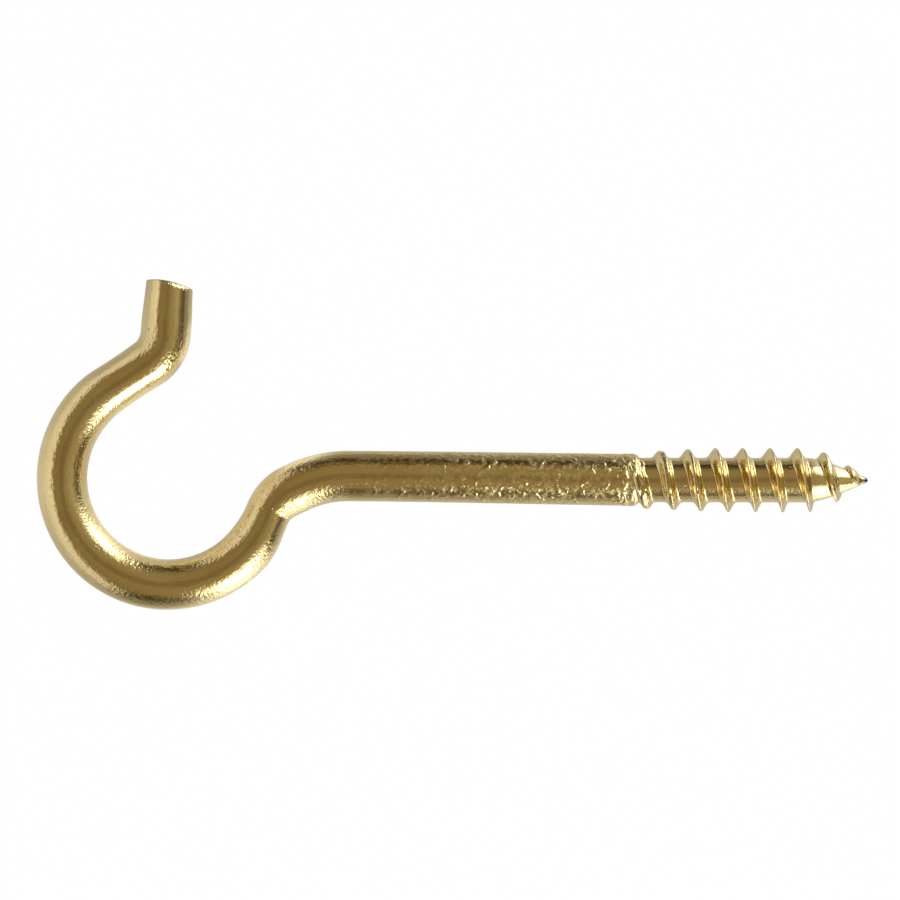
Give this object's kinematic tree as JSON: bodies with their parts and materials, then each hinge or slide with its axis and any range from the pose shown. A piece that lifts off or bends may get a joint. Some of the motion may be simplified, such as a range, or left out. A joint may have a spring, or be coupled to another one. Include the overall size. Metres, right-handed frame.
{
  "type": "screw hook",
  "caption": "Wire screw hook with an open round bow, an out-turned tip, a plain shank and a right-hand wood-screw thread with a gimlet point, for hanging things.",
  "frame": {"origin": "on the screw's axis, where the plain shank ends and its shoulder starts", "axes": "+X along the screw towards its point, +Y from the screw's axis towards the hook's tip and mouth, +Z across the bends"},
  "size_m": [0.0801, 0.0318, 0.0062],
  "materials": {
    "brass_finish": "bright brass plating on drawn steel wire, finely pitted"
  },
  "bodies": {
    "root": {"hook": "brass_finish"}
  },
  "joints": []
}
